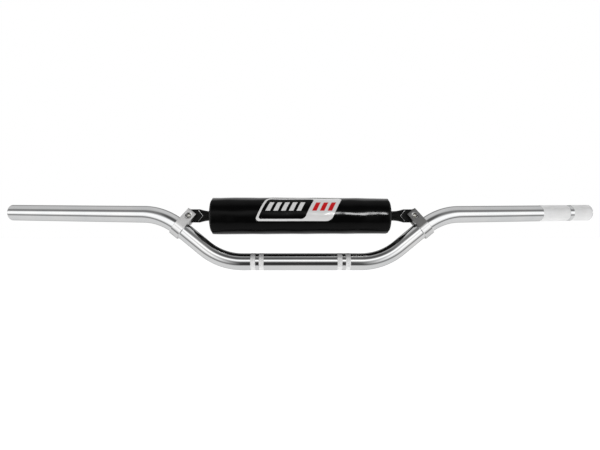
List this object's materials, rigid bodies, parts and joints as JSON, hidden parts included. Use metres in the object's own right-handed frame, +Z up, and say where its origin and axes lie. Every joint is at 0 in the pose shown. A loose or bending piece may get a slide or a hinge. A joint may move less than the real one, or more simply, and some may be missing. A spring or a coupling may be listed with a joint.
{
  "type": "motorcycle handlebar",
  "caption": "Off-road motorcycle handlebar: bent aluminium tube with a bolted crossbar in split clamps and a round foam pad that turns on the crossbar.",
  "frame": {"origin": "on the tube's axis, half-way along the straight centre section that the fork stem clamps", "axes": "+X along the bar to the rider's left, +Y back to the rider, +Z up"},
  "size_m": [0.8278, 0.097, 0.0936],
  "materials": {
    "polished_tube": "polished, with knurled bands",
    "clamp_metal": "satin, tumbled",
    "plated_steel": "zinc plated",
    "black_anodised": "black anodised, half gloss",
    "foam": "closed-cell foam, matt",
    "pad_vinyl": "glossy coated fabric",
    "closure_tape": "woven hook and loop tape"
  },
  "bodies": {
    "bar": {"handlebar_tube": "polished_tube", "clamp_left": "clamp_metal", "clamp_right": "clamp_metal", "clamp_screw_left": "plated_steel", "clamp_screw_right": "plated_steel", "plain_washer_left": "plated_steel", "plain_washer_right": "plated_steel", "spring_washer_left": "plated_steel", "spring_washer_right": "plated_steel", "crossbar": "black_anodised"},
    "pad": {"pad_foam_core": "foam", "pad_sleeve": "pad_vinyl", "pad_loop_strip": "closure_tape", "pad_hook_strip": "closure_tape"}
  },
  "joints": [
    {"name": "pad_turn", "type": "hinge", "parent": "bar", "child": "pad", "pos_m": [0, 0.00388, 0.05947], "axis": [1, 0, 0], "continuous": true}
  ]
}
